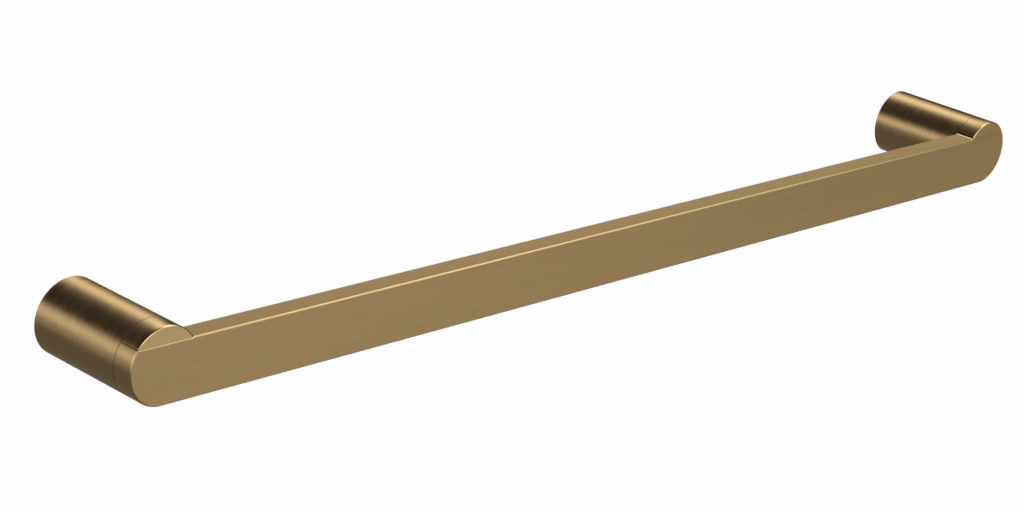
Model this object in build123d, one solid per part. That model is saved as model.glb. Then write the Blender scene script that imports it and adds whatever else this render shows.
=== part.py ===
"""Wall-mounted towel rail: one flat bar let into the front of two round posts.

The posts stand out from the wall along -Y and the bar runs along X. The origin is on the wall, midway
between the posts and level with their axes. Each end of the bar follows the round of its post, a half-moon
block above the bar completes that round, and both sit against the flat front of the post.
Every size is in millimetres.
"""

import os
from math import sqrt

from build123d import *

# Overall sizes
overall_length = 600.0
projection = 61.0
post_diameter = 34.0
bar_thickness = 10.5
step_height = 7.5  # from the top of the posts down to the top of the bar

# Edges that show
edge_radius = 0.8  # round on the front edges of the bar and of the half-moons
seam_break = 0.25  # chamfer on the edges that meet along a seam
wall_edge_break = 0.4  # chamfer round the posts where they meet the wall
cove_radius = 1.6  # hollow that leads from a half-moon's inner end down to the flat of the bar
cove_lip = 0.1  # left at the thin end of that hollow

# Posts
post_wall = 3.5
post_end_wall = 8.0
post_mouth_chamfer = 0.6

# Socket-head screw that pulls the bar against the post, from inside the post
bar_screw_diameter = 6.0
bar_screw_head_diameter = 10.0
bar_screw_head_height = 6.0
bar_screw_head_chamfer = 0.6
bar_screw_socket = 5.0  # across the flats
bar_screw_socket_depth = 3.0
bar_screw_tip_gap = 2.1  # left free below the tip of the screw
bar_screw_hole_clearance = 0.3  # radial, through the post's end wall
bar_front_skin = 2.0  # left between the tapped hole and the bar's face

# Spring washer under that screw's head
washer_outer_diameter = 11.8
washer_thickness = 1.6
washer_bore_clearance = 0.1  # radial, round the screw
washer_slit = 1.0

# Dowel pins: one keeps the bar square to the post, two carry the half-moon
dowel_diameter = 3.0
dowel_length = 10.0
dowel_bottom_gap = 0.2
bar_dowel_drop = 10.0  # below the axis of the post
moon_pin_spacing = 12.0

# Wall bracket, a turned plug that the post slides over
bracket_length = 14.0
bracket_clearance = 0.1  # radial, in the bore of the post
bracket_lead_chamfer = 0.6
bracket_dimple_depth = 2.0
bracket_hole_diameter = 4.5
bracket_hole_spacing = 14.0
bracket_countersink_diameter = 9.0

# Set screw through the underside of the post, into the dimple of the bracket
set_screw_diameter = 5.0
set_screw_from_wall = 8.0
set_screw_recess = 0.4  # below the surface of the post
set_screw_socket = 2.5  # across the flats
set_screw_socket_depth = 2.0
set_screw_tip_clearance = 0.1  # square to the cone of the dimple

# Fits between pieces that stay put
thread_clearance = 0.05  # radial, between a plain-cut screw and its tapped hole
dowel_clearance = 0.02  # radial, between a dowel and its hole

# How near two radii have to be to count as the same edge
same_radius = 1e-6

# Worked out from the sizes above
post_radius = post_diameter / 2
post_spacing = overall_length - post_diameter
post_length = projection - bar_thickness
bore_radius = post_radius - post_wall
bore_depth = post_length - post_end_wall
bar_top = post_radius - step_height
chord_half = sqrt(post_radius**2 - bar_top**2)
tapped_depth = bar_thickness - bar_front_skin
dowel_hole_radius = dowel_diameter / 2 + dowel_clearance
dowel_seat = dowel_length / 2 + dowel_bottom_gap
moon_pin_height = (bar_top + sqrt(post_radius**2 - (moon_pin_spacing / 2) ** 2)) / 2
bracket_radius = bore_radius - bracket_clearance
dimple_apex = bracket_radius - bracket_dimple_depth
POST_CENTRES = [-post_spacing / 2, post_spacing / 2]
MOON_PIN_CENTRES = [(side * moon_pin_spacing / 2, moon_pin_height) for side in (-1, 1)]


def turned(radius, start, length, x=0.0, z=0.0):
    """A round bar along -Y, from a distance start in front of the wall, centred on x and z."""
    return extrude(Plane.XZ.offset(start) * Pos(x, z) * Circle(radius), length)


def hexagon(across_flats, start, length):
    """A six-sided bar along -Y, for a key socket."""
    profile = RegularPolygon(across_flats / 2, 6, major_radius=False)
    return extrude(Plane.XZ.offset(start) * profile, length)


def above_bar():
    """The half plane of a post's outline that lies above the top of the bar."""
    return Pos(0, bar_top + post_diameter / 2) * Rectangle(2 * overall_length, post_diameter)


def edges_at(solid, start):
    """The edges that lie in the plane at a distance start in front of the wall."""
    return solid.edges().filter_by_position(Axis.Y, -start, -start)


def outer_rim(solid, start, radius):
    """The round edges of one radius in the plane at a distance start in front of the wall."""
    round_edges = edges_at(solid, start).filter_by(GeomType.CIRCLE)
    return [edge for edge in round_edges if abs(edge.radius - radius) < same_radius]


def seam_groove(x):
    """A cutter for the fine groove across an end, where the top of the bar meets a half-moon."""
    side = seam_break * sqrt(2)
    diamond = Pos(x, bar_top) * Rot(0, 0, 45) * Rectangle(side, side)
    return extrude(Plane.XZ.offset(post_length) * diamond, bar_thickness - edge_radius)


def rail_bar():
    """The flat bar: its lower outline is tangent to both posts, and its ends follow their round."""
    outline = SlotCenterToCenter(post_spacing, post_diameter) - above_bar()
    bar = extrude(Plane.XZ.offset(post_length) * outline, bar_thickness)
    bar = fillet(edges_at(bar, projection), edge_radius)
    bar = chamfer(edges_at(bar, post_length), seam_break)
    bar_end_corner = post_spacing / 2 + chord_half
    bar -= seam_groove(-bar_end_corner) + seam_groove(bar_end_corner)
    for x in POST_CENTRES:
        bar -= turned(bar_screw_diameter / 2, post_length, tapped_depth, x)
        bar -= turned(dowel_hole_radius, post_length, dowel_seat, x, -bar_dowel_drop)
    return bar


def foot_cove():
    """The hollow at a half-moon's inner foot, on the flat of the bar: an arc tangent to the round."""
    centre_z = bar_top + cove_lip + cove_radius
    centre_x = sqrt((post_radius + cove_radius) ** 2 - centre_z**2)
    wedge = make_face(Polyline((0, 0), (centre_x, 0), (centre_x, centre_z), close=True))
    profile = (wedge & above_bar()) - Pos(centre_x, centre_z) * Circle(cove_radius)
    length = bar_thickness - edge_radius - seam_break
    return extrude(Plane.XZ.offset(post_length + seam_break) * profile, length)


def half_moon():
    """The block above the bar that completes the round of the post.

    Its inner end, towards the middle of the bar, is at +X.
    """
    segment = Circle(post_radius) & above_bar()
    moon = extrude(Plane.XZ.offset(post_length) * segment, bar_thickness)
    moon = fillet(outer_rim(moon, projection, post_radius), edge_radius)
    moon = chamfer(outer_rim(moon, post_length, post_radius), seam_break)
    moon += foot_cove()
    moon -= seam_groove(-chord_half)
    for x, z in MOON_PIN_CENTRES:
        moon -= turned(dowel_hole_radius, post_length, dowel_seat, x, z)
    return moon


def post():
    """The round post: bored from the wall end for the bracket, with a thick wall at the front."""
    body = turned(post_radius, 0, post_length)
    body = chamfer(outer_rim(body, 0, post_radius), wall_edge_break)
    body = chamfer(outer_rim(body, post_length, post_radius), seam_break)
    body -= turned(bore_radius, 0, bore_depth)
    body = chamfer(outer_rim(body, 0, bore_radius), post_mouth_chamfer)
    body -= turned(bar_screw_diameter / 2 + bar_screw_hole_clearance, bore_depth, post_end_wall)
    for x, z in [(0, -bar_dowel_drop), *MOON_PIN_CENTRES]:
        body -= turned(dowel_hole_radius, post_length - dowel_seat, dowel_seat, x, z)
    underside = Plane(origin=(0, -set_screw_from_wall, 0), z_dir=(0, 0, -1))
    body -= extrude(underside * Circle(set_screw_diameter / 2), post_radius)
    return body


def below(turned_along_y):
    """Stand a piece drawn along +Y on the set screw's axis, pointing down."""
    return Pos(0, -set_screw_from_wall, 0) * Rot(-90, 0, 0) * turned_along_y


def wall_bracket():
    """The plug that is screwed to the wall, with a dimple below for the point of the set screw."""
    plug = turned(bracket_radius, 0, bracket_length)
    plug = chamfer(outer_rim(plug, bracket_length, bracket_radius), bracket_lead_chamfer)
    cutter_height = 2 * bracket_dimple_depth
    cutter_end = dimple_apex + cutter_height
    dimple = Polyline((0, dimple_apex), (cutter_height, cutter_end), (0, cutter_end), close=True)
    plug -= below(revolve(make_face(dimple), Axis.Y))
    countersink_depth = (bracket_countersink_diameter - bracket_hole_diameter) / 2
    for z in (-bracket_hole_spacing / 2, bracket_hole_spacing / 2):
        plug -= turned(bracket_hole_diameter / 2, 0, bracket_length, 0, z)
        mouth = Plane.XZ.offset(bracket_length - countersink_depth) * Pos(0, z)
        cone = Cone(
            bracket_hole_diameter / 2,
            bracket_countersink_diameter / 2,
            countersink_depth,
            align=(Align.CENTER, Align.CENTER, Align.MIN),
        )
        plug -= mouth * cone
    return plug


def set_screw():
    """The headless screw that locks the post on the bracket: a key socket outside, a cone inside."""
    radius = set_screw_diameter / 2 - thread_clearance
    outer_end = post_radius - set_screw_recess
    tip = dimple_apex + set_screw_tip_clearance * sqrt(2)
    profile = Polyline((0, tip), (radius, tip + radius), (radius, outer_end), (0, outer_end), close=True)
    screw = revolve(make_face(profile), Axis.Y)
    socket = RegularPolygon(set_screw_socket / 2, 6, major_radius=False)
    socket_floor = Plane.XZ.offset(-(outer_end - set_screw_socket_depth))
    screw -= extrude(socket_floor * socket, -set_screw_socket_depth)
    return below(screw)


def bar_screw():
    """The socket-head screw, seated on its washer and threaded into the back of the bar."""
    seat = bore_depth - washer_thickness
    tip = post_length + tapped_depth - bar_screw_tip_gap
    head = turned(bar_screw_head_diameter / 2, seat - bar_screw_head_height, bar_screw_head_height)
    rim = outer_rim(head, seat - bar_screw_head_height, bar_screw_head_diameter / 2)
    head = chamfer(rim, bar_screw_head_chamfer)
    shank = turned(bar_screw_diameter / 2 - thread_clearance, seat, tip - seat)
    return head + shank - hexagon(bar_screw_socket, seat - bar_screw_head_height, bar_screw_socket_depth)


def spring_washer():
    """The split ring between the screw's head and the post's end wall."""
    start = bore_depth - washer_thickness
    ring_bore_radius = bar_screw_diameter / 2 + washer_bore_clearance
    ring = turned(washer_outer_diameter / 2, start, washer_thickness)
    ring -= turned(ring_bore_radius, start, washer_thickness)
    slit = Pos(0, washer_outer_diameter / 2) * Rectangle(washer_slit, washer_outer_diameter)
    return ring - extrude(Plane.XZ.offset(start) * slit, washer_thickness)


def dowel(x, z):
    """A hardened pin, half in the post and half in what it locates."""
    return turned(dowel_diameter / 2, post_length - dowel_length / 2, dowel_length, x, z)


def moon_pins():
    """The pair of dowels that carry a half-moon."""
    return Compound([dowel(x, z) for x, z in MOON_PIN_CENTRES])


# Drawn for the left end, about the axis of its post
PIECES_AT_EACH_POST = {
    "post": post,
    "half_moon": half_moon,
    "wall_bracket": wall_bracket,
    "set_screw": set_screw,
    "bar_screw": bar_screw,
    "spring_washer": spring_washer,
    "bar_dowel": lambda: dowel(0, -bar_dowel_drop),
    "moon_pins": moon_pins,
}


def main():
    os.makedirs("parts", exist_ok=True)
    export_step(rail_bar(), "parts/rail_bar.step")
    for piece, make in PIECES_AT_EACH_POST.items():
        left = Pos(-post_spacing / 2, 0, 0) * make()
        export_step(left, f"parts/left_{piece}.step")
        export_step(mirror(left, about=Plane.YZ), f"parts/right_{piece}.step")


main()
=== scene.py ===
# %% [markdown]
# # A brushed-brass towel rail
# Two round posts stand out from the wall, and one flat bar is let into the front of both of them.
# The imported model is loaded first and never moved: it is the frame that every new surface is fitted to.
# Each visible piece is then made again as a fine surface, because a metal shows every facet and edge.

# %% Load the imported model
from math import radians

import bmesh
import bpy
import numpy as np
from mathutils import Matrix, Vector


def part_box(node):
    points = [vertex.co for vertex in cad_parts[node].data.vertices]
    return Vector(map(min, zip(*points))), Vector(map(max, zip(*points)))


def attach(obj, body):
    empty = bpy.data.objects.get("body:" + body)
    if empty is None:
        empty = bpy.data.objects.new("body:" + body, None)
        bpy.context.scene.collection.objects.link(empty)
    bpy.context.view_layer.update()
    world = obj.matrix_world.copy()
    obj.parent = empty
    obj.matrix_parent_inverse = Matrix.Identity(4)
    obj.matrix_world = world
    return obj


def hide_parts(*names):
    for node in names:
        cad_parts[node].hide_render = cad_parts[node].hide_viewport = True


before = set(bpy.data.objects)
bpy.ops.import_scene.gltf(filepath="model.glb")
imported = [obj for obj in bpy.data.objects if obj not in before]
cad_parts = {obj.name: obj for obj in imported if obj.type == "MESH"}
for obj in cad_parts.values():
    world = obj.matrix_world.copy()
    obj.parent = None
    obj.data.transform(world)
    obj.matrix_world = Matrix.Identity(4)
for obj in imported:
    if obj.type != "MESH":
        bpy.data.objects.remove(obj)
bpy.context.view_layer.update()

# %% [markdown]
# ## Sizes
# The frame gives the places: a node's box says how far the bar reaches, where the posts stand and where
# the pins and screws sit. The small edges can't be read from a box, so they are named here. The seams are
# drawn finer than they are cut, because on the rail they show as hairlines. Blender works in metres.

# %% Sizes
MM = 0.001
EDGE_ROUND = 0.8 * MM  # on the front edges of the bar and of the half-moons
SEAM_BREAK = 0.12 * MM  # chamfer where two pieces meet
WALL_BREAK = 0.4 * MM  # chamfer where a post meets the wall
MOUTH_BREAK = 0.6 * MM  # chamfer at the mouth of a post's bore
COVE_RADIUS = 1.6 * MM  # hollow at the inner foot of a half-moon
COVE_LIP = 0.1 * MM  # left standing at the thin end of that hollow
POST_WALL = 3.5 * MM  # round the bore
POST_END_WALL = 8.0 * MM  # between the bore and the bar

bar_low, bar_high = (np.array(corner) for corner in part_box("rail_bar"))
post_low, post_high = (np.array(corner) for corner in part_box("left_post"))
POST_RADIUS = (post_high[0] - post_low[0]) / 2
POST_X = bar_high[0] - POST_RADIUS
POST_LENGTH = post_high[1] - post_low[1]
BAR_TOP = bar_high[2]
BAR_FRONT, BAR_BACK = bar_low[1], bar_high[1]
SIDES = {"left": -1, "right": 1}
print(f"posts {2 * POST_RADIUS / MM:.1f} mm across, {2 * POST_X / MM:.1f} mm apart")

# %% [markdown]
# ## From arrays to a mesh
# A mesh can be built by adding points one at a time or with operators such as Extrude, but both hide the
# numbers. Here a surface is worked out as a grid of points with numpy, and one helper makes it a mesh.
# The UV map called brush is not for pictures: its U runs across the brush lines and its V along them, so
# that the shader's Tangent knows which way a surface was brushed. Two attributes ride along on the points:
# one marks the edges that are rubbed smooth, which are also painted brighter as a painted highlight, and the
# other marks the narrow walls of a joint, where light hardly reaches, which are painted dark as painted
# shade.

# %% A mesh from a grid
MARKS = ("polish_and_highlight", "seam")


def grid_quads(rows, columns, ring):
    """Corner numbers of a grid's quads, row by row.

    The last column joins the first. In a ring, the last row joins the first too.
    """
    number = np.arange(rows * columns).reshape(rows, columns)
    below = np.roll(number, -1, axis=0)
    if not ring:
        number, below = number[:-1], below[:-1]
    corners = [number, np.roll(number, -1, axis=1), np.roll(below, -1, axis=1), below]
    return np.stack(corners, axis=-1).reshape(-1, 4)


def run_length(points):
    """Distance walked along a line of points, from its first point to each of them."""
    steps = np.linalg.norm(np.diff(points, axis=0), axis=1)
    return np.hstack([0, np.cumsum(steps)])


def grid_mesh(name, grid, capped, face_axes=(2, 0), **marks):
    """A mesh from a grid of points (rows, columns, 3) whose columns run round a closed outline.

    With capped, flat faces close the first and the last row; without, the last row joins the first.
    face_axes names the axes that U and V follow on the caps. marks are point attributes, given for each
    row, for each column or for each point.
    """
    rows, columns, _ = grid.shape
    points = grid.reshape(-1, 3)
    number = np.arange(rows * columns).reshape(rows, columns)
    quads = grid_quads(rows, columns, ring=not capped)
    caps = [number[0].tolist(), number[-1, ::-1].tolist()] if capped else []
    mesh = bpy.data.meshes.new(name)
    mesh.from_pydata(points.tolist(), [], quads.tolist() + caps)
    corner = np.empty(len(mesh.loops), dtype=np.int32)
    mesh.loops.foreach_get("vertex_index", corner)
    across, along = run_length(grid[:, 0]), run_length(grid[rows // 2])
    brush = np.stack([across[corner // columns], along[corner % columns]], axis=-1)
    brush[quads.size:] = points[corner[quads.size:]][:, face_axes]
    mesh.uv_layers.new(name="brush").uv.foreach_set("vector", brush.astype(np.float32).ravel())
    for mark in MARKS:
        amount = np.broadcast_to(marks.get(mark, 0.0), (rows, columns)).astype(np.float32)
        mesh.attributes.new(mark, "FLOAT", "POINT").data.foreach_set("value", amount.ravel())
    shell = bmesh.new()
    shell.from_mesh(mesh)
    bmesh.ops.recalc_face_normals(shell, faces=shell.faces)
    shell.to_mesh(mesh)
    shell.free()
    return mesh


print("points carry", *MARKS)

# %% [markdown]
# ## From a mesh to a piece
# A finished piece has its holes drilled, is shaded smooth with its corners kept sharp, and stands for one
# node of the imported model. A hole could be worked into the grid, but that would bend the grid round it. A
# Boolean modifier cuts it out afterwards and leaves the grid plain.

# %% Objects, holes and shading
SHARP_ANGLE = radians(20)
HOLE_STEPS = 48


def place(name, data):
    """An object at the origin that holds a mesh or a camera."""
    made = bpy.data.objects.new(name, data)
    bpy.context.scene.collection.objects.link(made)
    return made


def hole(start, end, radius):
    """The wall of a drilled hole: a ring about each end, in X and across the hole's axis."""
    turn = np.linspace(0, 2 * np.pi, HOLE_STEPS, endpoint=False)[:, None]
    start, end = np.array(start), np.array(end)
    side = np.array([1.0, 0, 0])
    other = np.cross((end - start) / np.linalg.norm(end - start), side)
    ring = radius * (np.cos(turn) * side + np.sin(turn) * other)
    return np.stack([start + ring, end + ring])


def drill(piece, holes):
    """Cut holes out of a piece with a Boolean modifier, and keep the result as its mesh."""
    for wall in holes:
        cutter = place("cutter", grid_mesh("cutter", wall, True))
        cut = piece.modifiers.new("drill", "BOOLEAN")
        cut.object = cutter
        cut.solver = "EXACT"
        ready = piece.evaluated_get(bpy.context.evaluated_depsgraph_get())
        mesh = bpy.data.meshes.new_from_object(ready)
        piece.modifiers.clear()
        piece.data = mesh
        bpy.data.objects.remove(cutter)


def finish_piece(piece, node):
    """Smooth shading with sharp corners, normals led by the large faces, and the node it stands for."""
    piece.data.shade_smooth()
    piece.data.set_sharp_from_angle(angle=SHARP_ANGLE)
    piece.modifiers.new("even_normals", "WEIGHTED_NORMAL").keep_sharp = True
    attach(piece, "root")
    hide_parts(node)
    print(piece.name, len(piece.data.polygons), "faces")


print("a hole has", HOLE_STEPS, "sides")

# %% [markdown]
# ## Where the holes are
# Pins and screws sit in drilled holes that nobody sees while the rail is together. Without them the pins
# would run through solid metal. Each pin and screw is already in the frame, so a hole's place is the box of
# what goes into it. The holes are a hair wider and deeper than the pins.

# %% Holes from the boxes of the pins and screws
PAST_FACE = 0.5 * MM  # a cutter starts this far outside the face it enters
PIN_HOLE = 1.52 * MM  # radius of a pin's hole
PIN_SEAT = 5.2 * MM  # depth of a pin's hole
TAPPED_HOLE = 3.05 * MM  # radius of the hole for the bar's screw
TAPPED_DEPTH = 8.5 * MM
SET_HOLE = 2.55 * MM  # radius of the hole for the set screw


def pin_holes(node, count, radius, from_y, to_y):
    """Holes along Y for the pins in a node, which lie side by side along X."""
    low, high = (np.array(corner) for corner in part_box(node))
    pin_radius = (high[2] - low[2]) / 2
    level = (high[2] + low[2]) / 2
    places = np.linspace(low[0] + pin_radius, high[0] - pin_radius, count)
    return [hole((x, from_y, level), (x, to_y, level), radius) for x in places]


into_bar = (BAR_BACK + PAST_FACE, BAR_BACK - PIN_SEAT)
into_post = (BAR_BACK - PAST_FACE, BAR_BACK + PIN_SEAT)
bar_holes, moon_holes, post_holes = [], {}, {}
for side in SIDES:
    bar_holes += pin_holes(f"{side}_bar_dowel", 1, PIN_HOLE, *into_bar)
    bar_holes += pin_holes(f"{side}_bar_screw", 1, TAPPED_HOLE, into_bar[0], BAR_BACK - TAPPED_DEPTH)
    moon_holes[side] = pin_holes(f"{side}_moon_pins", 2, PIN_HOLE, *into_bar)
    post_holes[side] = pin_holes(f"{side}_moon_pins", 2, PIN_HOLE, *into_post)
    post_holes[side] += pin_holes(f"{side}_bar_dowel", 1, PIN_HOLE, *into_post)
    low, high = (np.array(corner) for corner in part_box(f"{side}_set_screw"))
    x, y = (low[:2] + high[:2]) / 2
    outside = (x, y, -POST_RADIUS - PAST_FACE)
    inside = (x, y, POST_WALL - POST_RADIUS + PAST_FACE)
    post_holes[side].append(hole(outside, inside, SET_HOLE))
print(len(bar_holes), "holes in the bar")

# %% [markdown]
# ## The bar
# On the real rail the bar is one flat length of brass. Its ends follow the round of the posts, its
# underside is tangent to them, and a small round softens the front edge. It could be a cube with a Bevel
# modifier, but then the bevel would decide where the corners go. Here the outline is a formula of its
# inset, and the section carries that outline from the front face round the edge to the back.

# %% The bar's outline and section
ARC_STEPS = 64
ROUND_STEPS = 13
HAIR = 0.05 * MM  # how far a seam's shade reaches past its corner
RING_SHADE = 0.85  # painted shade in the seam round a post; the seam beside a half-moon is painted darker
MOON_FOOT = POST_X - np.sqrt(POST_RADIUS**2 - BAR_TOP**2)  # where a half-moon's inner end meets the bar


def up_to_hair(first, last, hair):
    """ARC_STEPS values from first to last, even but for one that stands a hair before the last."""
    even = np.linspace(0, 1, ARC_STEPS - 1)
    return np.hstack([first + (last - hair - first) * even, last])


def bar_outline(inset):
    """Closed outlines in X and Z, one row for each inset.

    Each end is an arc about the post's axis with the post's radius less the inset, from straight down
    up to the bar's top, where a seam chamfer cuts the corner. Straight lines join the two ends, with
    points where the half-moons' inner feet stand.
    """
    radius = POST_RADIUS - inset[:, None]
    top = BAR_TOP - inset[:, None]
    last = np.arcsin(top / radius) - SEAM_BREAK / radius
    turn = up_to_hair(-np.pi / 2, last, HAIR / radius)
    arc_x, arc_z = POST_X + radius * np.cos(turn), radius * np.sin(turn)
    corner = POST_X + np.sqrt(radius**2 - top**2) - SEAM_BREAK
    foot = np.full_like(corner, MOON_FOOT)
    half = np.hstack([corner, corner - HAIR, foot + HAIR, foot])
    flat_x = np.hstack([half, -half[:, ::-1]])
    x = np.hstack([arc_x, flat_x, -arc_x[:, ::-1]])
    z = np.hstack([arc_z, np.broadcast_to(top, flat_x.shape), arc_z[:, ::-1]])
    return x, z


def front_to_back():
    """The section of a rounded front edge, row by row: inset, depth, burnish and seam.

    A quarter round leads from the front face to the side, which runs straight to the seam's chamfer.
    """
    turn = np.linspace(0, np.pi / 2, ROUND_STEPS)
    chamfer = BAR_BACK - SEAM_BREAK
    inset = np.hstack([EDGE_ROUND * (1 - np.sin(turn)), 0, 0, SEAM_BREAK])
    edge = BAR_FRONT + EDGE_ROUND * (1 - np.cos(turn))
    depth = np.hstack([edge, chamfer - HAIR, chamfer, BAR_BACK])
    # the middle of the round is rubbed smooth and also painted brighter, a painted highlight; the back
    # chamfer gets painted shade
    polish_and_highlight = np.hstack([np.sin(2 * turn), 0, 0, 0])
    seam = np.hstack([np.zeros_like(turn), 0, RING_SHADE, RING_SHADE])
    return inset, depth, polish_and_highlight[:, None], seam[:, None]


def stack_outline(x, z, depth):
    """A grid of points from outlines in X and Z and one depth in Y for each row."""
    return np.stack([x, np.broadcast_to(depth[:, None], x.shape), z], axis=-1)


inset, depth, polish_and_highlight, seam = front_to_back()
bar_grid = stack_outline(*bar_outline(inset), depth)
print("bar grid", bar_grid.shape)

# %% [markdown]
# In the picture a bright line runs along the upper front edge of the bar, as on an edge that towels and
# hands have rubbed smooth. Here that edge is made smoother and is also painted brighter, so the line is
# partly a painted highlight. Less of the studio's light reaches that edge towards the right, so the smoothing
# and the painted highlight grow that way and keep the line from fading too soon. This is chosen for the look:
# how smooth the real edge is isn't known. It could be painted by hand in Vertex Paint, but a formula gives
# the same every time.

# %% The bar's polish and seams
TOP_EDGE = 2 * EDGE_ROUND  # what counts as the top edge, down from the bar's top


def edge_polish_and_highlight(grid):
    """How far the front edge is rubbed smooth and painted brighter, a painted highlight, at each point, from
    0 to 1.

    It grows with height, from none at half a radius below the axis to all at half a radius above it.
    On the top edge it also grows evenly from the left half-moon's foot, where it is 0, to the right
    one's, where it is 1. Under the left half-moon it is 1, and under the right one 0.
    """
    x, _, z = np.moveaxis(grid, -1, 0)
    height = np.clip(0.5 + z / POST_RADIUS, 0, 1)
    along = x / MOON_FOOT
    top_edge = np.select([along < -1, along > 1], [1.0, 0.0], 0.5 + 0.5 * along)
    return height * np.where(z < BAR_TOP - TOP_EDGE, 1.0, top_edge)


behind_face = (depth > BAR_FRONT)[:, None]  # all but the row round the flat front
# painted shade on the bar's corners beside the half-moons
corner_seam = np.zeros(bar_grid.shape[1])
corner_seam[[ARC_STEPS - 1, ARC_STEPS, -ARC_STEPS - 1, -ARC_STEPS]] = 1
bar_marks = {
    "polish_and_highlight": polish_and_highlight * edge_polish_and_highlight(bar_grid),
    "seam": np.maximum(seam, corner_seam * behind_face),
}
bar = place("brushed_bar", grid_mesh("brushed_bar", bar_grid, True, **bar_marks))
drill(bar, bar_holes)
finish_piece(bar, "rail_bar")

# %% [markdown]
# ## The half-moons
# Above each end of the bar sits a half-moon block that completes the round of the post. Its front edge is
# rounded along the arc and sharp along the chord, where it meets the bar. At its inner foot a small hollow
# leads down to the flat of the bar. A cylinder cut by a plane would give the round but not the hollow, so
# this outline is a formula too, and the bar's section carries it from front to back.

# %% The half-moons' surface
COVE_STEPS = 9
COVE_AT_FRONT = 0.02  # share of the hollow that is left on the front face
COVE_SHADE = 0.8  # painted shade at the upper end of the hollow


def half_moon_outline(inset, share):
    """Closed outlines in X and Z for a half-moon whose inner end is at +X, one row for each inset.

    The hollow is an arc that touches the round from outside and the bar's top from above; share scales
    it. From there the round, the post's radius less the inset, runs over the top to the seam's chamfer.
    """
    radius = POST_RADIUS - inset[:, None]
    hollow = COVE_RADIUS * share[:, None]
    foot = BAR_TOP + COVE_LIP * share[:, None]
    centre_z = foot + hollow
    centre_x = np.sqrt((radius + hollow) ** 2 - centre_z**2)
    meet = np.arctan2(centre_z, centre_x)
    straight_down = 1.5 * np.pi
    turn = straight_down + (meet - np.pi / 2) * np.linspace(0, 1, COVE_STEPS)
    cove_x, cove_z = centre_x + hollow * np.cos(turn), centre_z + hollow * np.sin(turn)
    last = np.pi - np.arcsin(BAR_TOP / radius) - SEAM_BREAK / radius
    over = up_to_hair(meet, last, HAIR / radius)[:, 1:]
    corner = -np.sqrt(radius**2 - BAR_TOP**2) + SEAM_BREAK
    level = np.full_like(radius, BAR_TOP)
    x = np.hstack([centre_x, cove_x, radius * np.cos(over), corner])
    z = np.hstack([level, cove_z, radius * np.sin(over), level])
    return x, z


share = np.clip((depth - BAR_FRONT) / EDGE_ROUND, COVE_AT_FRONT, 1)
moon_x, moon_z = half_moon_outline(inset, share)
cove_polish_and_highlight, moon_seam = np.zeros((2, moon_x.shape[1]))
cove_polish_and_highlight[1:COVE_STEPS // 2 + 2] = 1  # the lower half of the hollow, rubbed smooth and painted brighter as a painted highlight
moon_seam[COVE_STEPS - 2:COVE_STEPS + 1] = COVE_SHADE
moon_seam[-2:] = 1  # painted shade on the chamfer beside the bar
moon_marks = {
    "polish_and_highlight": np.maximum(polish_and_highlight, cove_polish_and_highlight * behind_face),
    "seam": np.maximum(seam, moon_seam * behind_face),
}
half_moons = {}
for side, sign in SIDES.items():
    name = f"{side}_turned_half_moon"
    moon_grid = stack_outline(sign * (POST_X - moon_x), moon_z, depth)
    half_moons[side] = place(name, grid_mesh(name, moon_grid, True, (0, 2), **moon_marks))
    drill(half_moons[side], moon_holes[side])
    finish_piece(half_moons[side], f"{side}_half_moon")

# %% [markdown]
# ## The posts
# A post is turned on a lathe, so its surface is one profile carried round the post's axis: the chamfer at
# the wall, the long outside, the chamfer at the seam, the front face with its screw hole, and the bore that
# hides the wall bracket. A cylinder with a boolean bore would do, but the profile keeps every edge where it
# belongs.

# %% The posts' surface
POST_STEPS = 192
SCREW_HOLE = 3.3 * MM  # radius; the bar's screw passes through it freely
bore = POST_RADIUS - POST_WALL
bore_end = POST_END_WALL - POST_LENGTH
post_profile = np.array([  # radius, depth and painted shade of the seam
    (POST_RADIUS - WALL_BREAK, 0, 0),
    (POST_RADIUS, -WALL_BREAK, 0),
    (POST_RADIUS, SEAM_BREAK + HAIR - POST_LENGTH, 0),
    (POST_RADIUS, SEAM_BREAK - POST_LENGTH, RING_SHADE),
    (POST_RADIUS - SEAM_BREAK, -POST_LENGTH, RING_SHADE),
    (SCREW_HOLE, -POST_LENGTH, 0),
    (SCREW_HOLE, bore_end, 0),
    (bore, bore_end, 0),
    (bore, -MOUTH_BREAK, 0),
    (bore + MOUTH_BREAK, 0, 0),
])


def turned(radius, depth, x):
    """A surface of revolution about a post's axis, which runs along Y at x.

    Each pair of radius and depth becomes a ring: x plus radius times cosine, and radius times sine.
    """
    turn = np.linspace(0, 2 * np.pi, POST_STEPS, endpoint=False) - np.pi / 2
    ring_x, ring_z = x + radius * np.cos(turn), radius * np.sin(turn)
    return np.stack([ring_x, np.broadcast_to(depth, ring_x.shape), ring_z], axis=-1)


post_radius, post_depth, post_seam = np.hsplit(post_profile, 3)
posts = {}
for side, sign in SIDES.items():
    name = f"{side}_turned_post"
    post_grid = turned(post_radius, post_depth, sign * POST_X)
    posts[side] = place(name, grid_mesh(name, post_grid, False, seam=post_seam))
    drill(posts[side], post_holes[side])
    finish_piece(posts[side], f"{side}_post")

# %% [markdown]
# ## Shader groups
# Two effects are shared by every metal here. They could be drawn in each material, but then a change would
# have to be made in all of them, so each is a node group with named sockets. Three helpers keep the node code
# short: one adds a node, one opens a group and one does a sum.

# %% Node helpers


def add_node(tree, kind, group=None, **values):
    """A node with its inputs set by name, where _ stands for a space; a group node also gets its group."""
    node = tree.nodes.new(kind)
    if group:
        node.node_tree = group
    for socket, value in values.items():
        node.inputs[socket.replace("_", " ")].default_value = value
    return node


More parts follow.
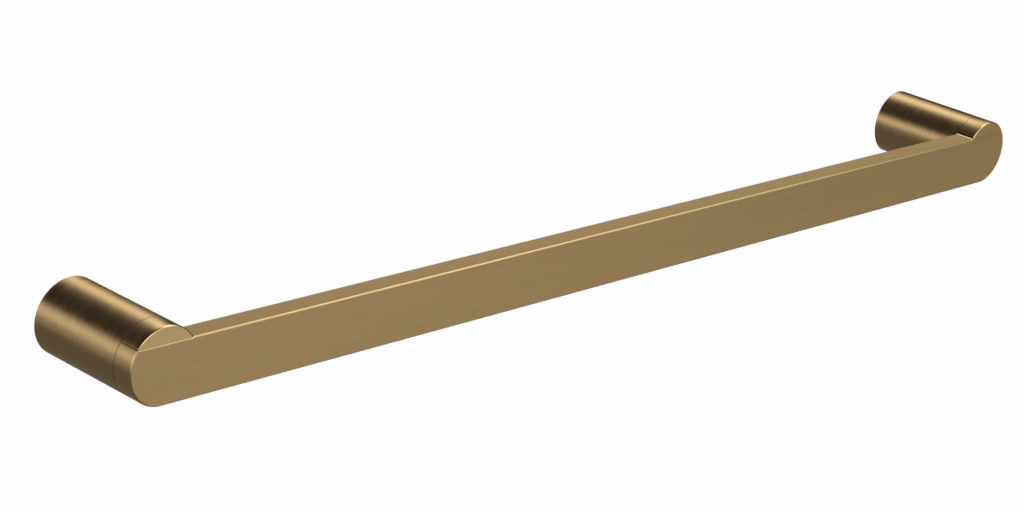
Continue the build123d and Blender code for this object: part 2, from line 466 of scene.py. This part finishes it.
def new_group(name, inputs, outputs):
    """An empty shader group with its sockets, its input node and its output node."""
    group = bpy.data.node_groups.new(name, "ShaderNodeTree")
    for socket, kind in inputs.items():
        group.interface.new_socket(socket, in_out="INPUT", socket_type=kind)
    for socket, kind in outputs.items():
        group.interface.new_socket(socket, in_out="OUTPUT", socket_type=kind)
    return group, group.nodes.new("NodeGroupInput"), group.nodes.new("NodeGroupOutput")


def calculate(tree, operation, first, second):
    """A Math node on two sockets or numbers; returns its result."""
    node = tree.nodes.new("ShaderNodeMath")
    node.operation = operation
    for socket, value in zip(node.inputs, (first, second)):
        if isinstance(value, (int, float)):
            socket.default_value = value
        else:
            tree.links.new(value, socket)
    return node.outputs[0]


print("node helpers ready")

# %% [markdown]
# Brushing leaves long fine lines in the brass. They could be modelled as grooves, but that would take
# millions of faces. Noise does as well once a material squeezes its coordinates across the lines, and two
# noises together, a broad and a fine one, look less even than one.

# %% Brush marks


def make_brush_marks():
    """Long lines from two noises, whose sum lies around 1.

    Level is 1 plus the contrast times how far the sum is from 1. Height is the sum itself.
    """
    group, given, result = new_group(
        "brush_marks",
        {"Lines": "NodeSocketVector", "Contrast": "NodeSocketFloat"},
        {"Level": "NodeSocketFloat", "Height": "NodeSocketFloat"},
    )
    broad = add_node(group, "ShaderNodeTexNoise", Scale=1.0, Detail=3.0, Roughness=0.6)
    fine = add_node(group, "ShaderNodeTexNoise", Scale=3.7, Detail=2.0, Roughness=0.5)
    for noise in (broad, fine):
        group.links.new(given.outputs["Lines"], noise.inputs["Vector"])
    both = calculate(group, "ADD", broad.outputs["Fac"], fine.outputs["Fac"])
    swing = calculate(group, "SUBTRACT", both, 1.0)
    scaled = calculate(group, "MULTIPLY", swing, given.outputs["Contrast"])
    group.links.new(calculate(group, "ADD", scaled, 1.0), result.inputs["Level"])
    group.links.new(both, result.inputs["Height"])
    return group


brush_marks = make_brush_marks()
print("group", brush_marks.name)

# %% [markdown]
# An edge that is handled turns smoother, and here it is also painted brighter as a painted highlight; the
# walls of a joint are painted dark as painted shade. Blender can find edges by itself, with Pointiness or a
# Bevel node, but those can't tell a smooth, handled edge from a dull one. The two attributes on the points
# can, so this group reads them.

# %% Edge smoothing and painted light
MIX_FACTOR = 0  # a Mix node's sockets go by number, because values and colours share their names
VALUE_A, VALUE_B, VALUE_MIXED = 2, 3, 0
COLOUR_A, COLOUR_B, COLOUR_MIXED = 6, 7, 2


def make_edge_smoothing_and_painted_light():
    """Mixes in smoother roughness and a painted highlight by one mark, and painted shade by seam."""
    group, given, result = new_group(
        "edge_smoothing_and_painted_light",
        {"Colour": "NodeSocketColor", "Highlight": "NodeSocketColor", "Shaded": "NodeSocketColor",
         "Roughness": "NodeSocketFloat", "Smoothest": "NodeSocketFloat"},
        {"Colour": "NodeSocketColor", "Roughness": "NodeSocketFloat"},
    )
    polish_highlight_mark, joint = (group.nodes.new("ShaderNodeAttribute") for _ in MARKS)
    polish_highlight_mark.attribute_name, joint.attribute_name = MARKS
    tint, shade, smooth = (group.nodes.new("ShaderNodeMix") for _ in range(3))
    tint.data_type = shade.data_type = "RGBA"
    for mark, mix in ((polish_highlight_mark, tint), (polish_highlight_mark, smooth), (joint, shade)):
        group.links.new(mark.outputs["Fac"], mix.inputs[MIX_FACTOR])
    group.links.new(given.outputs["Colour"], tint.inputs[COLOUR_A])
    group.links.new(given.outputs["Highlight"], tint.inputs[COLOUR_B])
    group.links.new(tint.outputs[COLOUR_MIXED], shade.inputs[COLOUR_A])
    group.links.new(given.outputs["Shaded"], shade.inputs[COLOUR_B])
    group.links.new(given.outputs["Roughness"], smooth.inputs[VALUE_A])
    group.links.new(given.outputs["Smoothest"], smooth.inputs[VALUE_B])
    group.links.new(shade.outputs[COLOUR_MIXED], result.inputs["Colour"])
    group.links.new(smooth.outputs[VALUE_MIXED], result.inputs["Roughness"])
    return group


edge_smoothing_and_painted_light = make_edge_smoothing_and_painted_light()
print("group", edge_smoothing_and_painted_light.name)

# %% [markdown]
# ## Finishes
# The rail is brushed brass: a metal with soft, stretched highlights. A picture of brushed metal could be
# wrapped round it, but it would blur close up. Brushing leaves fine grooves, and light spreads across them
# much further than along them, which is what the shader's Anisotropic value does, so noise only has to add
# the marks themselves. The posts were brushed while they turned, so their lines run round; the bar was
# drawn lengthwise.

# %% A brushed metal
BRASS = (0.300, 0.206, 0.096, 1)
BRASS_RIM = (1.0, 0.88, 0.74, 1)  # tint of the gloss at a grazing angle, so that highlights stay golden
# painted highlight: the colour that smoothed edges are painted
POLISH_HIGHLIGHT = (0.46, 0.35, 0.165, 1)
# painted shade for the walls of joints and the top of the hollow
SEAM_PAINTED_SHADE = (0.03, 0.02, 0.01, 1)
GROOVE_DEPTH = 0.02 * MM


def new_material(name):
    """A new material, its node tree and its Principled shader."""
    material = bpy.data.materials.new(name)
    material.use_nodes = True
    tree = material.node_tree
    return material, tree, tree.nodes["Principled BSDF"]


def metal(name, lines, contrast, roughness, smoothest, bump, stretch=0.0, tilt=0.0, brushed=True,
          colour=BRASS, edge_highlight=POLISH_HIGHLIGHT, rim=BRASS_RIM):
    """A brushed metal.

    lines is how tightly the marks are packed along X, Y and Z, in marks to a metre, and tilt turns them
    by degrees. contrast and bump are how strongly they show, in tone and in relief. roughness falls to
    smoothest on an edge that is rubbed smooth, and there the colour turns brighter as a painted highlight.
    stretch draws highlights out across the brush lines.
    """
    material, tree, shader = new_material(name)
    shader.inputs["Metallic"].default_value = 1.0
    shader.inputs["Anisotropic"].default_value = stretch
    shader.inputs["Specular Tint"].default_value = rim
    coordinates = tree.nodes.new("ShaderNodeTexCoord")
    squeeze = add_node(tree, "ShaderNodeMapping", Scale=lines, Rotation=(0, radians(tilt), 0))
    tree.links.new(coordinates.outputs["Object"], squeeze.inputs["Vector"])
    marks = add_node(tree, "ShaderNodeGroup", brush_marks, Contrast=contrast)
    tree.links.new(squeeze.outputs["Vector"], marks.inputs["Lines"])
    marked = tree.nodes.new("ShaderNodeMix")
    marked.data_type = "RGBA"
    marked.blend_type = "MULTIPLY"
    marked.inputs[MIX_FACTOR].default_value = 1.0
    marked.inputs[COLOUR_A].default_value = colour
    tree.links.new(marks.outputs["Level"], marked.inputs[COLOUR_B])
    rough = calculate(tree, "MULTIPLY", marks.outputs["Level"], roughness)
    # painted highlight on smoothed edges and painted shade in the joints
    edge_light = {"Highlight": edge_highlight, "Shaded": SEAM_PAINTED_SHADE, "Smoothest": smoothest}
    edge = add_node(tree, "ShaderNodeGroup", edge_smoothing_and_painted_light, **edge_light)
    tree.links.new(marked.outputs[COLOUR_MIXED], edge.inputs["Colour"])
    tree.links.new(rough, edge.inputs["Roughness"])
    tree.links.new(edge.outputs["Colour"], shader.inputs["Base Color"])
    tree.links.new(edge.outputs["Roughness"], shader.inputs["Roughness"])
    grooves = add_node(tree, "ShaderNodeBump", Strength=bump, Distance=GROOVE_DEPTH)
    tree.links.new(marks.outputs["Height"], grooves.inputs["Height"])
    tree.links.new(grooves.outputs["Normal"], shader.inputs["Normal"])
    if brushed:
        way = tree.nodes.new("ShaderNodeTangent")
        way.direction_type = "UV_MAP"
        way.uv_map = "brush"
        tree.links.new(way.outputs["Tangent"], shader.inputs["Tangent"])
    return material


print("brass", BRASS[:3], "and polished", POLISH_HIGHLIGHT[:3])

# %% [markdown]
# Every finish is a recipe for that one function. They could be six materials drawn by hand, but side by side
# the numbers show how the finishes differ: the bar's marks run along X, and the posts' marks run round. The
# hidden brackets and screws are plain.

# %% The brass and steel finishes
STEEL = (0.42, 0.42, 0.43, 1)
STEEL_RIM = (1.0, 1.0, 1.0, 1)
RECIPES = {
    "bar_face": dict(
        lines=(6, 400, 700), tilt=2.6, contrast=0.34, bump=0.10, roughness=0.50, smoothest=0.25, stretch=0.5),
    "bar_flat": dict(
        lines=(9, 1100, 9), contrast=0.10, bump=0.10, roughness=0.66, smoothest=0.25),
    "turned_round": dict(
        lines=(30, 900, 30), contrast=0.45, bump=0.15, roughness=0.34, smoothest=0.18, stretch=0.8),
    "moon_face": dict(
        lines=(500, 400, 30), contrast=0.06, bump=0.05, roughness=0.36, smoothest=0.25, stretch=0.3),
    "plain_brass": dict(
        lines=(60, 900, 60), contrast=0.12, bump=0.10, roughness=0.34, smoothest=0.34, brushed=False,
        edge_highlight=BRASS),
    "steel": dict(
        lines=(300, 300, 900), contrast=0.12, bump=0.10, roughness=0.30, smoothest=0.30, brushed=False,
        colour=STEEL, edge_highlight=STEEL, rim=STEEL_RIM),
}
finishes = {name: metal(name, **recipe) for name, recipe in RECIPES.items()}
print("finishes:", *finishes)

# %% [markdown]
# A piece can wear more than one finish: the flat front of the bar was brushed lengthwise, its top is a
# little duller, and the rounds shine like the posts. Each could be a mesh of its own, but one mesh with
# several material slots stays closed. The way a face looks decides which finish it takes.

# %% Put the finishes on
FACING = 0.999  # a face looks straight along an axis from this cosine on


def wear(piece, round_finish, face_finish, flat_finish):
    """Give a piece three finishes: for its rounds, its front and back, and what looks straight up or down."""
    mesh = piece.data
    mesh.materials.clear()
    for finish in (round_finish, face_finish, flat_finish):
        mesh.materials.append(finishes[finish])
    normals = np.empty(len(mesh.polygons) * 3, dtype=np.float32)
    mesh.polygon_normals.foreach_get("vector", normals)
    _, y, z = normals.reshape(-1, 3).T
    which = np.select([np.abs(y) > FACING, np.abs(z) > FACING], [1, 2], 0).astype(np.int32)
    mesh.polygons.foreach_set("material_index", which)
    print(piece.name, "faces by finish:", np.bincount(which, minlength=3))


wear(bar, "turned_round", "bar_face", "bar_flat")
for side in SIDES:
    wear(half_moons[side], "turned_round", "moon_face", "turned_round")
    wear(posts[side], "turned_round", "turned_round", "turned_round")
    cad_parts[f"{side}_wall_bracket"].data.materials[0] = finishes["plain_brass"]
    for hidden in ("set_screw", "bar_screw", "spring_washer", "bar_dowel", "moon_pins"):
        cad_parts[f"{side}_{hidden}"].data.materials[0] = finishes["steel"]

# %% [markdown]
# ## Floor and world
# A plain pale floor and a white world give even light from everywhere, so that a colour renders about as
# it is written. Lamps could do it too, but each would leave its own spot in the metal. The floor is seen
# only from above: from below it lets the view through.

# %% Floor and world
FLOOR_Z = -0.8  # well below, since the rail hangs on a wall
FLOOR_REACH = 40.0
FLOOR_WHITE = (0.985, 0.985, 0.985, 1)


def show_mix(tree, share, first, second):
    """Show two shaders mixed: only the first where share is 0, only the second where it is 1."""
    mix = tree.nodes.new("ShaderNodeMixShader")
    for output, socket in zip((share, first.outputs[0], second.outputs[0]), mix.inputs):
        tree.links.new(output, socket)
    tree.links.new(mix.outputs[0], tree.nodes["Material Output"].inputs["Surface"])


def make_floor():
    """A level square with no gloss, which is clear from below."""
    ways = ((-1, -1), (1, -1), (1, 1), (-1, 1))
    corners = [(x * FLOOR_REACH, y * FLOOR_REACH, FLOOR_Z) for x, y in ways]
    mesh = bpy.data.meshes.new("floor")
    mesh.from_pydata(corners, [], [(0, 1, 2, 3)])
    made = place("floor", mesh)
    material, tree, shader = new_material("floor")
    shader.inputs["Base Color"].default_value = FLOOR_WHITE
    shader.inputs["Roughness"].default_value = 1.0
    shader.inputs["Specular IOR Level"].default_value = 0.0
    geometry = tree.nodes.new("ShaderNodeNewGeometry")
    clear = tree.nodes.new("ShaderNodeBsdfTransparent")
    show_mix(tree, geometry.outputs["Backfacing"], shader, clear)
    mesh.materials.append(material)


make_floor()
world = bpy.data.worlds.new("white_room")
world.use_nodes = True
world.node_tree.nodes["Background"].inputs["Color"].default_value = (1, 1, 1, 1)
bpy.context.scene.world = world
bpy.context.scene.view_settings.view_transform = "Standard"
print("floor at", FLOOR_Z, "m")

# %% [markdown]
# ## Studio
# Metal has little colour of its own without something to reflect. In a photo studio an arch of dark cloth
# hangs over such a piece, with glowing panels in it: the panels make the bright bands along the posts, and
# the cloth makes the bands between them. Area lamps would do for the panels, but they have hard edges and
# would light the floor as well. These sheets fade out at their edges, and only reflections see them, so the
# floor stays evenly white.

# %% Glowing curtains
ARCH_BACK = 14.0
ARCH_STEPS = 48
NARROWEST_FADE = 1e-4
MIDDLE = 0.5  # of a UV that runs from 0 to 1


def glow(made, level, softness):
    """The light of a curtain: a level of white that fades into clear at the edges of the sheet.

    softness is the share of the sheet's length and of its depth that fades, half of it at either edge.
    """
    material, tree, shader = new_material(made.name)
    tree.nodes.remove(shader)
    light = add_node(tree, "ShaderNodeEmission", Strength=level)
    clear = tree.nodes.new("ShaderNodeBsdfTransparent")
    coordinates = tree.nodes.new("ShaderNodeTexCoord")
    split = tree.nodes.new("ShaderNodeSeparateXYZ")
    tree.links.new(coordinates.outputs["UV"], split.inputs[0])
    fades = []
    for axis, soft in zip("XY", softness):
        from_edge = calculate(tree, "PINGPONG", split.outputs[axis], MIDDLE)
        fade = add_node(tree, "ShaderNodeMapRange", From_Max=max(soft / 2, NARROWEST_FADE))
        fade.interpolation_type = "SMOOTHSTEP"
        tree.links.new(from_edge, fade.inputs["Value"])
        fades.append(fade.outputs["Result"])
    show_mix(tree, calculate(tree, "MULTIPLY", *fades), clear, light)
    made.data.materials.append(material)


def curtain(name, line_x, line_z, y_span, level, softness):
    """A glowing sheet: a line in X and Z carried along Y, with UV from 0 to 1 along the line and along Y."""
    share = np.linspace(0, 1, len(line_x))
    line = np.stack([line_x, np.zeros_like(share), line_z], axis=-1)
    points = np.vstack([line + [0, y, 0] for y in y_span])
    number = np.arange(len(points)).reshape(2, -1)
    quads = np.stack([number[0, :-1], number[0, 1:], number[1, 1:], number[1, :-1]], axis=-1)
    mesh = bpy.data.meshes.new(name)
    mesh.from_pydata(points.tolist(), [], quads.tolist())
    corner = quads.ravel()
    uv = np.stack([np.tile(share, 2)[corner], np.repeat([0.0, 1.0], len(share))[corner]], axis=-1)
    mesh.uv_layers.new(name="sheet").uv.foreach_set("vector", uv.astype(np.float32).ravel())
    made = place(name, mesh)
    glow(made, level, softness)
    made.visible_camera = made.visible_diffuse = made.visible_shadow = False


def arch(name, radius, angles, front, level, softness):
    """A curtain on an arc about the Y axis; its angles run from +X upwards."""
    turn = np.radians(np.linspace(*angles, ARCH_STEPS))
    curtain(name, radius * np.cos(turn), radius * np.sin(turn), (front, ARCH_BACK), level, softness)


def level_sheet(name, x_span, y_span, z, level, softness):
    """A curtain that lies level."""
    curtain(name, np.array(x_span), np.full(2, z), y_span, level, softness)


print("an arch has", ARCH_STEPS, "points")

# %% [markdown]
# The arch has one panel high on the right and one beside the rail on the left. Level sheets below give the
# undersides and the front of the bar their tone, and one high in front lights the half-moons' rounded edges.

# %% Hang the studio
CLOTH_FRONT, PANEL_FRONT = -1.5, -2.4

arch("dark_cloth", radius=3.60, angles=(-16, 196), front=CLOTH_FRONT, level=0.02, softness=(0, 0))
arch("upper_panel", radius=2.10, angles=(22, 81), front=PANEL_FRONT, level=3.45, softness=(1.0, 0.1))
arch("side_panel", radius=2.90, angles=(138, 198), front=PANEL_FRONT, level=2.0, softness=(1.0, 0.1))
level_sheet("low_cloth", (-3.4, 4.5), (-1.0, 2.5), z=-0.74, level=0.31, softness=(0.2, 0.35))
level_sheet("floor_glow", (-0.5, 1.8), (-2.8, -0.5), z=-0.77, level=2.80, softness=(1.0, 1.0))
level_sheet("right_cloth", (1.7, 5.0), (-4.0, -0.2), z=-0.76, level=0.66, softness=(0.5, 0.3))
level_sheet("front_cloth", (-1.8, 0.55), (-3.4, -0.3), z=-0.75, level=0.12, softness=(0.3, 0.3))
level_sheet("front_panel", (-2.2, 1.2), (-4.2, -1.4), z=2.0, level=3.0, softness=(0.5, 0.4))
print("studio hung")

# %% [markdown]
# ## Camera
# The camera looks along the bar from the left, from a little above. It could be aimed by eye, but its
# place, turn and lens were found by fitting the corners of the posts and of the bar to their places in the
# picture, which is far closer.

# %% Camera
CAMERA_PLACE = (-0.92712, -0.79999, 0.41305)
CAMERA_RIGHT = Vector((0.686543, -0.718339, 0.112461))
CAMERA_UP = Vector((0.173821, 0.312341, 0.933932))
LENS_MM = 95.33

camera_data = bpy.data.cameras.new("camera")
camera_data.lens = LENS_MM
camera = place("camera", camera_data)
turn = Matrix((CAMERA_RIGHT, CAMERA_UP, CAMERA_RIGHT.cross(CAMERA_UP))).transposed()
camera.matrix_world = Matrix.Translation(CAMERA_PLACE) @ turn.to_4x4()
bpy.context.scene.camera = camera
print("camera", LENS_MM, "mm")
